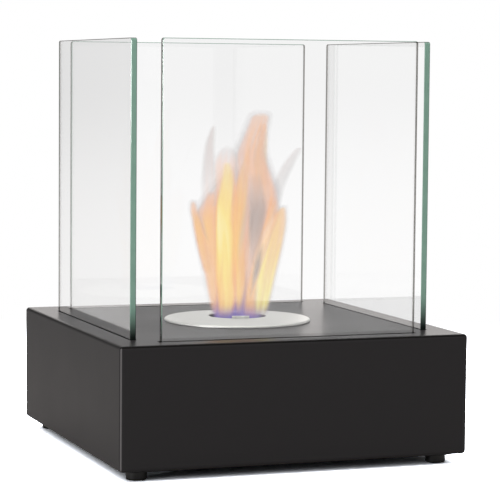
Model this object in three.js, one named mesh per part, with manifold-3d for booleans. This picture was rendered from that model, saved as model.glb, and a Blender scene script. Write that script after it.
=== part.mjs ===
// Tabletop bioethanol fireplace: a square sheet-steel base box on four rubber feet, four glass panes
// that stand in slots in its top, and a stainless burner that hangs in a round hole in the middle.
// Millimetres, +Z up. The origin is on the floor under the middle of the box, and -Y is the front.
import * as THREE from "three";
import { RoundedBoxGeometry } from "three/addons/geometries/RoundedBoxGeometry.js";
import { mergeVertices } from "three/addons/utils/BufferGeometryUtils.js";
import Module from "manifold-3d";

const wasm = await Module();
wasm.setup();

// Base box: five folded sides of one sheet, corners welded and ground round
const BASE_SIZE = 300;
const BASE_HEIGHT = 100;
const BASE_SHEET = 1.5;
const EDGE_RADIUS = 3;
const FLANGE_WIDTH = 34;
const FLANGE_CORNER_RADIUS = 8;

// Bottom plate, screwed up against the flange together with the feet
const PLATE_SHEET = 1.5;
const PLATE_INSET = 8;
const PLATE_CORNER_RADIUS = 6;

// Rubber feet
const FOOT_DIAMETER = 17;
const FOOT_HEIGHT = 7.5;
const FOOT_EDGE_RADIUS = 1.5;
const FOOT_FROM_SIDE = 19.5;
const FOOT_RECESS_DIAMETER = 8.6;
const FOOT_RECESS_DEPTH = 4;

// Foot screws and the clinch nuts that they screw into
const SCREW_DIAMETER = 4;
const SCREW_LENGTH = 12;
const SCREW_HEAD_DIAMETER = 7.6;
const SCREW_HEAD_HEIGHT = 2.4;
const SCREW_CROSS_LENGTH = 4;
const SCREW_CROSS_WIDTH = 0.8;
const SCREW_CROSS_DEPTH = 1.4;
const SCREW_CLEARANCE = 0.3;
const NUT_DIAMETER = 8.5;
const NUT_HEIGHT = 4;
const NUT_PILOT_DIAMETER = 6;
const NUT_PILOT_LENGTH = 1.2;
const NUT_CLEARANCE = 0.3;

// Glass panes
const PANE_WIDTH = 220;
const PANE_ABOVE_TOP = 241;
const PANE_ENGAGEMENT = 15;
const PANE_THICKNESS = 5;
const PANE_FROM_SIDE = 20;
const PANE_CORNER_RADIUS = 2;
const PANE_ARRIS = 0.5;

// Slots in the top, and the hat channel and silicone seat under each
const SLOT_CLEARANCE = 0.75;
const SLOT_END_CLEARANCE = 2;
const CHANNEL_SHEET = 1;
const CHANNEL_END_MARGIN = 2;
const CHANNEL_WELD_FLANGE = 6;
const SEAT_BASE = 2;
const SEAT_LIP = 0.75;
const SEAT_LIP_HEIGHT = 8;
const SEAT_CLEARANCE = 0.25;

// Burner: fuel cup, ring over its rim, and the fibre and perforated disc inside it
const CUP_DIAMETER = 100;
const CUP_DEPTH = 57;
const CUP_SHEET = 1;
const CUP_BOTTOM_RADIUS = 9;
const CUP_NECK_RADIUS = 2;
const HOLE_CLEARANCE = 2;
const RING_DIAMETER = 126.4;
const RING_SHEET = 1.2;
const RING_EDGE_HEIGHT = 2.4;
const RING_BEND_RADIUS = 1.6;
const RIM_CLEARANCE = 1;
const MOUTH_DIAMETER = 49.8;
const MOUTH_HEIGHT = 4.4;
const FIBRE_HEIGHT = 41;
const FIBRE_EDGE_RADIUS = 3;
const CUP_FIT = 0.3;
const SCREEN_SHEET = 1;
const SCREEN_HOLE_DIAMETER = 5;
const SCREEN_HOLE_PITCH = 10;
const SCREEN_MARGIN = 4;

// Lift tab: a bent strip under the ring that stands up just inside the front of the mouth
const TAB_WIDTH = 15;
const TAB_SHEET = 1;
const TAB_RISE = 2;
const TAB_FOOT = 12;
const TAB_CLEARANCE = 0.3;
const TAB_BEARING = -102.4;

// Fineness of curved surfaces
const EDGE_SEGMENTS = 3;
const ARC_STEPS = 3;
const SMALL_ROUND = 20;
const LARGE_ROUND = 48;
const SCREEN_HOLE_ROUND = 8;
const CUT_MARGIN = 1;

// Heights and places that follow from the sizes above
const BOX_BOTTOM = FOOT_HEIGHT + PLATE_SHEET;
const BOX_MIDDLE = BOX_BOTTOM + BASE_HEIGHT / 2;
const TOP = BOX_BOTTOM + BASE_HEIGHT;
const TOP_UNDERSIDE = TOP - BASE_SHEET;
const FOOT_OFFSET = BASE_SIZE / 2 - FOOT_FROM_SIDE;
const FOOT_PLACES = [
  [-FOOT_OFFSET, -FOOT_OFFSET],
  [FOOT_OFFSET, -FOOT_OFFSET],
  [FOOT_OFFSET, FOOT_OFFSET],
  [-FOOT_OFFSET, FOOT_OFFSET],
];
const SCREW_HOLE_RADIUS = SCREW_DIAMETER / 2 + SCREW_CLEARANCE;
const PANE_HEIGHT = PANE_ABOVE_TOP + PANE_ENGAGEMENT;
const PANE_OFFSET = BASE_SIZE / 2 - PANE_FROM_SIDE - PANE_THICKNESS / 2;
const SLOT_WIDTH = PANE_THICKNESS + 2 * SLOT_CLEARANCE;
const SLOT_LENGTH = PANE_WIDTH + 2 * SLOT_END_CLEARANCE;
const CHANNEL_LENGTH = SLOT_LENGTH + 2 * CHANNEL_END_MARGIN;
const CHANNEL_HALF_WIDTH = PANE_THICKNESS / 2 + SEAT_CLEARANCE + SEAT_LIP;
const SEAT_TOP = TOP - PANE_ENGAGEMENT;
const CHANNEL_FLOOR = SEAT_TOP - SEAT_BASE;
const CUP_RADIUS = CUP_DIAMETER / 2;
const CUP_BOTTOM = TOP - CUP_DEPTH;
const CUP_FLOOR = CUP_BOTTOM + CUP_SHEET;
const CUP_INNER_RADIUS = CUP_RADIUS - CUP_SHEET;
const CUP_RIM_RADIUS = RING_DIAMETER / 2 - RING_SHEET - RIM_CLEARANCE;
const SCREEN_BOTTOM = CUP_FLOOR + FIBRE_HEIGHT;

// Solids and geometries

// A closed geometry as a solid. Only the positions count for shared vertices.
function solidOf(geometry) {
  const bare = geometry.clone();
  bare.deleteAttribute("normal");
  bare.deleteAttribute("uv");
  const merged = mergeVertices(bare, 1e-4);
  const mesh = new wasm.Mesh({
    numProp: 3,
    vertProperties: new Float32Array(merged.attributes.position.array),
    triVerts: new Uint32Array(merged.index.array),
  });
  return new wasm.Manifold(mesh);
}

function geometryOf(solid) {
  const mesh = solid.getMesh();
  const geometry = new THREE.BufferGeometry();
  geometry.setAttribute("position", new THREE.BufferAttribute(mesh.vertProperties, 3));
  geometry.setIndex(new THREE.BufferAttribute(mesh.triVerts, 1));
  geometry.computeVertexNormals();
  return geometry;
}

function cut(geometry, tools) {
  let solid = solidOf(geometry);
  for (const tool of tools) {
    solid = solid.subtract(solidOf(tool));
  }
  return geometryOf(solid);
}

// A round solid about the Z axis, from its profile of radii and heights.
function turned(profile, segments) {
  const geometry = new THREE.LatheGeometry(profile, segments);
  return geometry.rotateX(Math.PI / 2);
}

function point(radius, height) {
  return new THREE.Vector2(radius, height);
}

// Points of an arc in a profile, from one angle to the other in degrees, ends included.
function arc(centreRadius, centreHeight, radius, from, to) {
  const points = [];
  for (let step = 0; step <= ARC_STEPS; step++) {
    const angle = THREE.MathUtils.degToRad(from + ((to - from) * step) / ARC_STEPS);
    points.push(point(centreRadius + radius * Math.cos(angle), centreHeight + radius * Math.sin(angle)));
  }
  return points;
}

function cylinder(radius, bottom, top, segments) {
  return turned([point(0, bottom), point(radius, bottom), point(radius, top), point(0, top)], segments);
}

// A rectangle about the origin with round corners, as a shape to extrude.
function roundedRectangle(width, height, radius) {
  const x = width / 2 - radius;
  const y = height / 2 - radius;
  const shape = new THREE.Shape();
  shape.absarc(x, -y, radius, -Math.PI / 2, 0);
  shape.absarc(x, y, radius, 0, Math.PI / 2);
  shape.absarc(-x, y, radius, Math.PI / 2, Math.PI);
  shape.absarc(-x, -y, radius, Math.PI, 1.5 * Math.PI);
  return shape;
}

function circle(x, y, radius, segments) {
  const points = [];
  for (let step = 0; step < segments; step++) {
    const angle = (step * 2 * Math.PI) / segments;
    points.push(new THREE.Vector2(x + radius * Math.cos(angle), y + radius * Math.sin(angle)));
  }
  return points;
}

function plate(shape, thickness) {
  const curveSegments = ARC_STEPS;
  return new THREE.ExtrudeGeometry(shape, { depth: thickness, bevelEnabled: false, curveSegments });
}

// A cross-section drawn in (Y, Z), run along X and centred there.
function section(outline, length) {
  const shape = new THREE.Shape(outline.map(([y, z]) => new THREE.Vector2(y, z)));
  const geometry = new THREE.ExtrudeGeometry(shape, { depth: length, bevelEnabled: false });
  geometry.translate(0, 0, -length / 2);
  const yzxFromXyz = new THREE.Matrix4().set(0, 0, 1, 0, 1, 0, 0, 0, 0, 1, 0, 0, 0, 0, 0, 1);
  return geometry.applyMatrix4(yzxFromXyz);
}

// Materials

const POWDER_COAT = new THREE.MeshStandardMaterial({ color: 0x2f2e2e, roughness: 0.55, metalness: 0.0 });
const RUBBER = new THREE.MeshStandardMaterial({ color: 0x1b1b1c, roughness: 0.8, metalness: 0.0 });
const ZINC = new THREE.MeshStandardMaterial({ color: 0xb9bcc0, roughness: 0.35, metalness: 1.0 });
const STAINLESS = new THREE.MeshStandardMaterial({ color: 0xd2d2cf, roughness: 0.35, metalness: 1.0 });
const SILICONE = new THREE.MeshStandardMaterial({ color: 0x2a2a2a, roughness: 0.7, metalness: 0.0 });
const FIBRE = new THREE.MeshStandardMaterial({ color: 0xeeebe3, roughness: 0.95, metalness: 0.0 });
const GLASS = new THREE.MeshStandardMaterial({
  color: 0xd4ebe2,
  roughness: 0.03,
  metalness: 0.0,
  transparent: true,
  opacity: 0.3,
});

// Base box

// Slots, burner hole, the opening inside the flange, and the nuts' holes in the flange.
function baseCuts() {
  const cuts = [];
  const topCutHeight = BASE_SHEET + 2 * CUT_MARGIN;
  for (const side of [-1, 1]) {
    const along = new THREE.BoxGeometry(SLOT_LENGTH, SLOT_WIDTH, topCutHeight);
    cuts.push(along.translate(0, side * PANE_OFFSET, TOP - BASE_SHEET / 2));
    const across = new THREE.BoxGeometry(SLOT_WIDTH, SLOT_LENGTH, topCutHeight);
    cuts.push(across.translate(side * PANE_OFFSET, 0, TOP - BASE_SHEET / 2));
  }
  const holeRadius = CUP_RADIUS + HOLE_CLEARANCE;
  cuts.push(cylinder(holeRadius, TOP_UNDERSIDE - CUT_MARGIN, TOP + CUT_MARGIN, LARGE_ROUND));
  const openingSize = BASE_SIZE - 2 * FLANGE_WIDTH;
  const opening = roundedRectangle(openingSize, openingSize, FLANGE_CORNER_RADIUS);
  const flangeCut = plate(opening, BASE_SHEET + 2 * CUT_MARGIN);
  cuts.push(flangeCut.translate(0, 0, BOX_BOTTOM - CUT_MARGIN));
  for (const [x, y] of FOOT_PLACES) {
    const nutHole = cylinder(
      NUT_PILOT_DIAMETER / 2 + NUT_CLEARANCE,
      BOX_BOTTOM - CUT_MARGIN,
      BOX_BOTTOM + BASE_SHEET + CUT_MARGIN,
      SMALL_ROUND,
    );
    cuts.push(nutHole.translate(x, y, 0));
  }
  return cuts;
}

function baseShell() {
  const outer = new RoundedBoxGeometry(BASE_SIZE, BASE_SIZE, BASE_HEIGHT, EDGE_SEGMENTS, EDGE_RADIUS);
  outer.translate(0, 0, BOX_MIDDLE);
  const innerSize = BASE_SIZE - 2 * BASE_SHEET;
  const innerHeight = BASE_HEIGHT - 2 * BASE_SHEET;
  const innerRadius = EDGE_RADIUS - BASE_SHEET;
  const inner = new RoundedBoxGeometry(innerSize, innerSize, innerHeight, EDGE_SEGMENTS, innerRadius);
  inner.translate(0, 0, BOX_MIDDLE);
  return cut(outer, [inner, ...baseCuts()]);
}

function bottomPlate() {
  const size = BASE_SIZE - 2 * PLATE_INSET;
  const shape = roundedRectangle(size, size, PLATE_CORNER_RADIUS);
  for (const [x, y] of FOOT_PLACES) {
    shape.holes.push(new THREE.Path(circle(x, y, SCREW_HOLE_RADIUS, SMALL_ROUND)));
  }
  return plate(shape, PLATE_SHEET);
}

// Feet and their fasteners, each about its own axis

// A rubber foot: round lower edge, and a recess for the screw head in its underside.
function foot() {
  const radius = FOOT_DIAMETER / 2;
  const edge = FOOT_EDGE_RADIUS;
  const recess = FOOT_RECESS_DIAMETER / 2;
  return turned(
    [
      point(recess, 0),
      ...arc(radius - edge, edge, edge, -90, 0),
      point(radius, FOOT_HEIGHT),
      point(SCREW_HOLE_RADIUS, FOOT_HEIGHT),
      point(SCREW_HOLE_RADIUS, FOOT_RECESS_DEPTH),
      point(recess, FOOT_RECESS_DEPTH),
      point(recess, 0),
    ],
    SMALL_ROUND,
  );
}

// A pan-head screw, head down, with its bearing face at height 0 and a cross recess.
function footScrew() {
  const shank = SCREW_DIAMETER / 2;
  const head = SCREW_HEAD_DIAMETER / 2;
  const round = SCREW_HEAD_HEIGHT / 2;
  const tip = shank / 4;
  const body = turned(
    [
      point(0, -SCREW_HEAD_HEIGHT),
      ...arc(head - round, round - SCREW_HEAD_HEIGHT, round, -90, 0),
      point(head, 0),
      point(shank, 0),
      point(shank, SCREW_LENGTH - tip),
      point(shank - tip, SCREW_LENGTH),
      point(0, SCREW_LENGTH),
    ],
    SMALL_ROUND,
  );
  const recess = [];
  const sizes = [
    [SCREW_CROSS_LENGTH, SCREW_CROSS_WIDTH],
    [SCREW_CROSS_WIDTH, SCREW_CROSS_LENGTH],
  ];
  for (const [width, depth] of sizes) {
    const bar = new THREE.BoxGeometry(width, depth, 2 * SCREW_CROSS_DEPTH);
    recess.push(bar.translate(0, 0, -SCREW_HEAD_HEIGHT));
  }
  return cut(body, recess);
}

// A clinch nut that sits on the flange, its pilot down in the flange's hole.
function clinchNut() {
  const pilot = NUT_PILOT_DIAMETER / 2;
  return turned(
    [
      point(SCREW_HOLE_RADIUS, -NUT_PILOT_LENGTH),
      point(pilot, -NUT_PILOT_LENGTH),
      point(pilot, 0),
      point(NUT_DIAMETER / 2, 0),
      point(NUT_DIAMETER / 2, NUT_HEIGHT),
      point(SCREW_HOLE_RADIUS, NUT_HEIGHT),
      point(SCREW_HOLE_RADIUS, -NUT_PILOT_LENGTH),
    ],
    SMALL_ROUND,
  );
}

// Panes and what holds them, each drawn along X with its middle plane at Y = 0

// A pane with round corners and its long edges taken off all round.
function glassPane() {
  const shape = roundedRectangle(PANE_WIDTH, PANE_HEIGHT, PANE_CORNER_RADIUS);
  const geometry = new THREE.ExtrudeGeometry(shape, {
    depth: PANE_THICKNESS - 2 * PANE_ARRIS,
    bevelThickness: PANE_ARRIS,
    bevelSize: PANE_ARRIS,
    bevelOffset: -PANE_ARRIS,
    bevelSegments: 1,
    curveSegments: ARC_STEPS,
  });
  geometry.translate(0, PANE_HEIGHT / 2, PANE_ARRIS - PANE_THICKNESS / 2);
  return geometry.rotateX(Math.PI / 2);
}

// A hat channel: a U that the pane stands in, with a weld flange along each side at its top.
function glassChannel() {
  const inner = CHANNEL_HALF_WIDTH;
  const outer = inner + CHANNEL_SHEET;
  const edge = outer + CHANNEL_WELD_FLANGE;
  const bottom = CHANNEL_FLOOR - CHANNEL_SHEET;
  const flange = TOP_UNDERSIDE - CHANNEL_SHEET;
  const outline = [
    [-outer, bottom],
    [outer, bottom],
    [outer, flange],
    [edge, flange],
    [edge, TOP_UNDERSIDE],
    [inner, TOP_UNDERSIDE],
    [inner, CHANNEL_FLOOR],
    [-inner, CHANNEL_FLOOR],
    [-inner, TOP_UNDERSIDE],
    [-edge, TOP_UNDERSIDE],
    [-edge, flange],
    [-outer, flange],
  ];
  return section(outline, CHANNEL_LENGTH);
}

// A silicone U strip that lines the channel under the pane.
function glassSeat() {
  const outer = CHANNEL_HALF_WIDTH;
  const inner = outer - SEAT_LIP;
  const lipTop = SEAT_TOP + SEAT_LIP_HEIGHT;
  const outline = [
    [-outer, CHANNEL_FLOOR],
    [outer, CHANNEL_FLOOR],
    [outer, lipTop],
    [inner, lipTop],
    [inner, SEAT_TOP],
    [-inner, SEAT_TOP],
    [-inner, lipTop],
    [-outer, lipTop],
  ];
  return section(outline, PANE_WIDTH);
}

// Burner, about the Z axis

// A deep-drawn cup whose rim turns out over the edge of the hole and rests on the top.
function burnerCup() {
  const bottom = CUP_BOTTOM_RADIUS;
  const neck = CUP_NECK_RADIUS;
  const outerNeck = neck - CUP_SHEET;
  const rimTop = TOP + CUP_SHEET;
  return turned(
    [
      point(0, CUP_BOTTOM),
      ...arc(CUP_RADIUS - bottom, CUP_BOTTOM + bottom, bottom, -90, 0),
      ...arc(CUP_RADIUS + outerNeck, TOP - outerNeck, outerNeck, 180, 90),
      point(CUP_RIM_RADIUS, TOP),
      point(CUP_RIM_RADIUS, rimTop),
      ...arc(CUP_INNER_RADIUS + neck, rimTop - neck, neck, 90, 180),
      ...arc(CUP_RADIUS - bottom, CUP_BOTTOM + bottom, bottom - CUP_SHEET, 0, -90),
      point(0, CUP_FLOOR),
    ],
    LARGE_ROUND,
  );
}

// Height of the ring's underside over the top at a radius between its mouth and its outer bend.
function ringUnderside(radius) {
  const innerEnd = MOUTH_DIAMETER / 2 + RING_SHEET / 2;
  const outerEnd = RING_DIAMETER / 2 - RING_BEND_RADIUS;
  const share = (radius - innerEnd) / (outerEnd - innerEnd);
  return THREE.MathUtils.lerp(MOUTH_HEIGHT, RING_EDGE_HEIGHT, share) - RING_SHEET;
}

// A shallow cone that rises to a round lip at the mouth, with a short skirt turned down outside.
function burnerRing() {
  const outer = RING_DIAMETER / 2;
  const bend = RING_BEND_RADIUS;
  const bendCentre = TOP + RING_EDGE_HEIGHT - bend;
  const lip = RING_SHEET / 2;
  return turned(
    [
      point(outer, TOP),
      ...arc(outer - bend, bendCentre, bend, 0, 90),
      ...arc(MOUTH_DIAMETER / 2 + lip, TOP + MOUTH_HEIGHT - lip, lip, 90, 270),
      ...arc(outer - bend, bendCentre, bend - RING_SHEET, 90, 0),
      point(outer - RING_SHEET, TOP),
      point(outer, TOP),
    ],
    LARGE_ROUND,
  );
}

// The fibre that fills the cup under the perforated disc, with soft edges.
function burnerWool() {
  const radius = CUP_INNER_RADIUS - CUP_FIT;
  const bottomEdge = CUP_BOTTOM_RADIUS;
  const topEdge = FIBRE_EDGE_RADIUS;
  return turned(
    [
      point(0, CUP_FLOOR),
      ...arc(radius - bottomEdge, CUP_FLOOR + bottomEdge, bottomEdge, -90, 0),
      ...arc(radius - topEdge, SCREEN_BOTTOM - topEdge, topEdge, 0, 90),
      point(0, SCREEN_BOTTOM),
    ],
    LARGE_ROUND,
  );
}

// Perforated disc: round holes in staggered rows, as many as fit inside its plain margin.
function woolScreen() {
  const radius = CUP_INNER_RADIUS - CUP_FIT;
  const shape = new THREE.Shape(circle(0, 0, radius, LARGE_ROUND));
  const reach = radius - SCREEN_MARGIN - SCREEN_HOLE_DIAMETER / 2;
  const rowPitch = SCREEN_HOLE_PITCH * Math.sin(Math.PI / 3);
  const rows = Math.floor(reach / rowPitch);
  const columns = Math.ceil(reach / SCREEN_HOLE_PITCH);
  for (let row = -rows; row <= rows; row++) {
    const stagger = (Math.abs(row) % 2) * (SCREEN_HOLE_PITCH / 2);
    for (let column = -columns; column <= columns; column++) {
      const x = column * SCREEN_HOLE_PITCH + stagger;
      const y = row * rowPitch;
      if (Math.hypot(x, y) <= reach) {
        const hole = circle(x, y, SCREEN_HOLE_DIAMETER / 2, SCREEN_HOLE_ROUND);
        shape.holes.push(new THREE.Path(hole));
      }
    }
  }
  return plate(shape, SCREEN_SHEET);
}

// A bent strip drawn along X: a foot under the ring, and a leg that stands up inside the mouth.
function liftTab() {
  const mouthReach = MOUTH_DIAMETER / 2 - TAB_CLEARANCE;
  const legOuter = Math.sqrt(mouthReach ** 2 - (TAB_WIDTH / 2) ** 2) - TAB_CLEARANCE;
  const legInner = legOuter - TAB_SHEET;
  const footEnd = legOuter + TAB_FOOT;
  const legTop = TOP + MOUTH_HEIGHT + TAB_RISE;
  const footStart = TOP + ringUnderside(MOUTH_DIAMETER / 2) - TAB_CLEARANCE;
  const footTip = TOP + ringUnderside(footEnd) - TAB_CLEARANCE;
  const corner = TAB_SHEET / 2;
  const shape = new THREE.Shape();
  shape.moveTo(legInner, footStart - TAB_SHEET);
  shape.lineTo(footEnd, footTip - TAB_SHEET);
  shape.lineTo(footEnd, footTip);
  shape.lineTo(legOuter, footStart);
  shape.lineTo(legOuter, legTop - corner);
  shape.absarc(legOuter - corner, legTop - corner, corner, 0, Math.PI);
  shape.closePath();
  const geometry = plate(shape, TAB_WIDTH);
  geometry.translate(0, 0, -TAB_WIDTH / 2);
  return geometry.rotateX(Math.PI / 2);
}

// Assembly

function place(group, name, geometry, material, x, y, z) {
  const mesh = new THREE.Mesh(geometry, material);
  mesh.name = name;
  mesh.position.set(x, y, z);
  group.add(mesh);
}

function base() {
  const group = new THREE.Group();
  place(group, "base_shell", baseShell(), POWDER_COAT, 0, 0, 0);
  place(group, "bottom_plate", bottomPlate(), POWDER_COAT, 0, 0, FOOT_HEIGHT);
  FOOT_PLACES.forEach(([x, y], index) => {
    const number = index + 1;
    place(group, `foot_${number}`, foot(), RUBBER, x, y, 0);
    place(group, `foot_screw_${number}`, footScrew(), ZINC, x, y, FOOT_RECESS_DEPTH);
    place(group, `clinch_nut_${number}`, clinchNut(), ZINC, x, y, BOX_BOTTOM + BASE_SHEET);
  });
  return group;
}

// One pane with its seat and channel for each side, turned about the Z axis into its place.
function panes() {
  const group = new THREE.Group();
  ["front", "right", "back", "left"].forEach((name, quarter) => {
    const side = new THREE.Group();
    side.rotation.z = (quarter * Math.PI) / 2;
    place(side, `glass_${name}`, glassPane(), GLASS, 0, -PANE_OFFSET, SEAT_TOP);
    place(side, `glass_seat_${name}`, glassSeat(), SILICONE, 0, -PANE_OFFSET, 0);
    place(side, `glass_channel_${name}`, glassChannel(), ZINC, 0, -PANE_OFFSET, 0);
    group.add(side);
  });
  return group;
}

function burner() {
  const group = new THREE.Group();
  place(group, "burner_cup", burnerCup(), STAINLESS, 0, 0, 0);
  place(group, "burner_ring", burnerRing(), STAINLESS, 0, 0, 0);
  place(group, "burner_wool", burnerWool(), FIBRE, 0, 0, 0);
  place(group, "wool_screen", woolScreen(), STAINLESS, 0, 0, SCREEN_BOTTOM);
  const tab = new THREE.Group();
  tab.rotation.z = THREE.MathUtils.degToRad(TAB_BEARING);
  place(tab, "lift_tab", liftTab(), STAINLESS, 0, 0, 0);
  group.add(tab);
  return group;
}

const fireplace = new THREE.Group();
fireplace.add(base(), panes(), burner());
export default fireplace;
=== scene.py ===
"""Looks of the tabletop bioethanol fireplace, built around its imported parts. Metres, +Z up, front to -Y."""
import math

import bmesh
import bpy
from mathutils import Matrix, Vector


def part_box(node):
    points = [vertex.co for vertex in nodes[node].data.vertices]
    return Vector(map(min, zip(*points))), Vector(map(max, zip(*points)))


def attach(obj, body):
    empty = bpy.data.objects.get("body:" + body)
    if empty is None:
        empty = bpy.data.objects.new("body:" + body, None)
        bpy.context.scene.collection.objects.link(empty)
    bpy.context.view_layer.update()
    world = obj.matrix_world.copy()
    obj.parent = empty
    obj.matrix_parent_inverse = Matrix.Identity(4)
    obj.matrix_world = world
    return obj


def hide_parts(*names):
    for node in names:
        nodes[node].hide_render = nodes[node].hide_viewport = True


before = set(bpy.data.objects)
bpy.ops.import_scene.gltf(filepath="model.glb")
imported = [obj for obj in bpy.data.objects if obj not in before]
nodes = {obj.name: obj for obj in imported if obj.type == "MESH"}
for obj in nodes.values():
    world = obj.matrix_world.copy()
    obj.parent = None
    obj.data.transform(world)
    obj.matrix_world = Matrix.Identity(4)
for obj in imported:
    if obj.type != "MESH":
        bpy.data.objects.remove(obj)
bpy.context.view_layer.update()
MM = 0.001

# --- Camera ----------------------------------------------------------------------------------------
# The photograph is taken from a little above the box and left of its front, with a long lens.
# Its place and lens come from the box's straight edges.

CAMERA_PLACE = Vector((-629.2, -1748.3, 321.3)) * MM
CAMERA_YAW = 0.3515
CAMERA_PITCH = 0.0812
CAMERA_ROLL = 0.0088
LENS = 154.9
SENSOR = 36.0

forward = Vector((
    math.sin(CAMERA_YAW) * math.cos(CAMERA_PITCH),
    math.cos(CAMERA_YAW) * math.cos(CAMERA_PITCH),
    -math.sin(CAMERA_PITCH),
))
level = Vector((math.cos(CAMERA_YAW), -math.sin(CAMERA_YAW), 0))
upright = level.cross(forward)
right = math.cos(CAMERA_ROLL) * level + math.sin(CAMERA_ROLL) * upright
above = math.cos(CAMERA_ROLL) * upright - math.sin(CAMERA_ROLL) * level

camera_data = bpy.data.cameras.new("camera")
camera_data.lens = LENS
camera_data.sensor_width = SENSOR
camera = bpy.data.objects.new("camera", camera_data)
camera_turn = Matrix((right, above, -forward)).transposed()
camera.matrix_world = Matrix.Translation(CAMERA_PLACE) @ camera_turn.to_4x4()
bpy.context.scene.collection.objects.link(camera)
bpy.context.scene.camera = camera
bpy.context.scene.view_settings.view_transform = "Standard"

# --- Studio ----------------------------------------------------------------------------------------
# White paper under and behind the fireplace, in a dim room with a bright ceiling, and soft lamps above
# it and to its left. The camera sees white wherever the object's shadow doesn't reach, and through
# glass the far paper is a touch greyer.

# The room that mirror images and the light on things come from. The backdrop is a bright patch of the
# horizon that fades between two cosines of the angle from its bearing. The ceiling comes in between two
# sines of the height over the horizon.
ROOM_COLOUR = (1.0, 0.965, 0.945, 1)
WALLS = 0.25
BACKDROP = 2.4
BACKDROP_YAW = 0.3515
BACKDROP_FROM = 0.99
BACKDROP_TO = 0.90
CEILING = 1.0
CEILING_FROM = 0.26
CEILING_TO = 0.7

# The floor. Its gain lifts it to white outside the shadow. A lower gain under the box is painted shade
# there, and FLOOR_SHADE is a painted blue tint in the shadow. Past NEAR_TO it gives way to plain white
# paper. The paper dims with distance in mirrors and through glass.
FLOOR_SIZE = 200.0
FLOOR_ALBEDO = 0.55
FLOOR_SHOWN = 5.4
UNDER_BOX_SHADE_GAIN = 1.0
FLOOR_SHADE = (0.92, 0.98, 1.06)
UNDER_FROM = 0.12
UNDER_TO = 0.152
NEAR_TO = 0.45
FAR_FROM = 1.0
MIRRORED_REACH = 5.0
MIRRORED_NEAR = 0.6
GLAZED_REACH = 7.0
GLAZED_FAR = 0.93


def add(tree, kind, inputs=None, **settings):
    """Adds a node. Settings are its own properties. Each input is a value, or an output to link."""
    made = tree.nodes.new(kind)
    for name, value in settings.items():
        setattr(made, name, value)
    for name, value in (inputs or {}).items():
        if isinstance(value, bpy.types.NodeSocket):
            tree.links.new(value, made.inputs[name])
        else:
            made.inputs[name].default_value = value
    return made


def seen(tree):
    """Three outputs of 1 or 0: seen straight or through glass, seen in a mirror image, seen through glass."""
    path = add(tree, "ShaderNodeLightPath")
    through = path.outputs["Is Transmission Ray"]
    either = add(tree, "ShaderNodeMath", {0: path.outputs["Is Camera Ray"], 1: through}, operation="MAXIMUM")
    return either.outputs[0], path.outputs["Is Glossy Ray"], through


def nearness(tree, distance, reach):
    """1 at the object, a half at the reach, and towards 0 far off."""
    share = add(tree, "ShaderNodeMath", {0: distance, 1: reach}, operation="DIVIDE")
    share = add(tree, "ShaderNodeMath", {0: share.outputs[0], 1: share.outputs[0], 2: 1.0},
                operation="MULTIPLY_ADD")
    return add(tree, "ShaderNodeMath", {0: 1.0, 1: share.outputs[0]}, operation="DIVIDE").outputs[0]


def surface(name):
    """A new material and its node tree, emptied."""
    material = bpy.data.materials.new(name)
    material.use_nodes = True
    material.node_tree.nodes.clear()
    return material, material.node_tree


def link_object(name, data):
    """A new object in the scene, made of a mesh or a lamp."""
    made = bpy.data.objects.new(name, data)
    bpy.context.scene.collection.objects.link(made)
    return made


world = bpy.data.worlds.new("studio")
world.use_nodes = True
tree = world.node_tree
tree.nodes.clear()
direction = add(tree, "ShaderNodeTexCoord").outputs["Generated"]
sideways = add(tree, "ShaderNodeVectorMath", {0: direction, 1: (1, 1, 0)}, operation="MULTIPLY")
bearing = add(tree, "ShaderNodeVectorMath", {0: sideways.outputs[0]}, operation="NORMALIZE")
behind = add(tree, "ShaderNodeVectorMath", {
    0: bearing.outputs[0],
    1: (math.sin(BACKDROP_YAW), math.cos(BACKDROP_YAW), 0),
}, operation="DOT_PRODUCT")
walls = add(tree, "ShaderNodeMapRange", {
    "Value": behind.outputs["Value"],
    "From Min": BACKDROP_TO,
    "From Max": BACKDROP_FROM,
    "To Min": WALLS,
    "To Max": BACKDROP,
}, interpolation_type="SMOOTHSTEP")
height = add(tree, "ShaderNodeSeparateXYZ", {0: direction})
room = add(tree, "ShaderNodeMapRange", {
    "Value": height.outputs["Z"],
    "From Min": CEILING_FROM,
    "From Max": CEILING_TO,
    "To Min": walls.outputs[0],
    "To Max": CEILING,
}, interpolation_type="SMOOTHSTEP")
dim = add(tree, "ShaderNodeBackground", {"Color": ROOM_COLOUR, "Strength": room.outputs[0]})
straight, _, glazed = seen(tree)
level = add(tree, "ShaderNodeMapRange", {"Value": glazed, "To Min": 1.0, "To Max": GLAZED_FAR})
white = add(tree, "ShaderNodeBackground", {"Color": (1, 1, 1, 1), "Strength": level.outputs[0]})
choice = add(tree, "ShaderNodeMixShader", {0: straight, 1: dim.outputs[0], 2: white.outputs[0]})
add(tree, "ShaderNodeOutputWorld", {"Surface": choice.outputs[0]})
bpy.context.scene.world = world

# The floor is matt white paper, lit evenly to the horizon. Near the object it takes the shadow.
paper, tree = surface("matt_white_paper")
straight, mirrored, glazed = seen(tree)
place = add(tree, "ShaderNodeTexCoord").outputs["Object"]
away = add(tree, "ShaderNodeVectorMath", {0: place}, operation="LENGTH")
far = add(tree, "ShaderNodeMapRange", {
    "Value": away.outputs["Value"],
    "From Min": NEAR_TO,
    "From Max": FAR_FROM,
}, interpolation_type="SMOOTHSTEP")
sides = add(tree, "ShaderNodeVectorMath", {0: place}, operation="ABSOLUTE")
sides = add(tree, "ShaderNodeSeparateXYZ", {0: sides.outputs[0]})
out = add(tree, "ShaderNodeMath", {0: sides.outputs["X"], 1: sides.outputs["Y"]}, operation="MAXIMUM")
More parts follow.
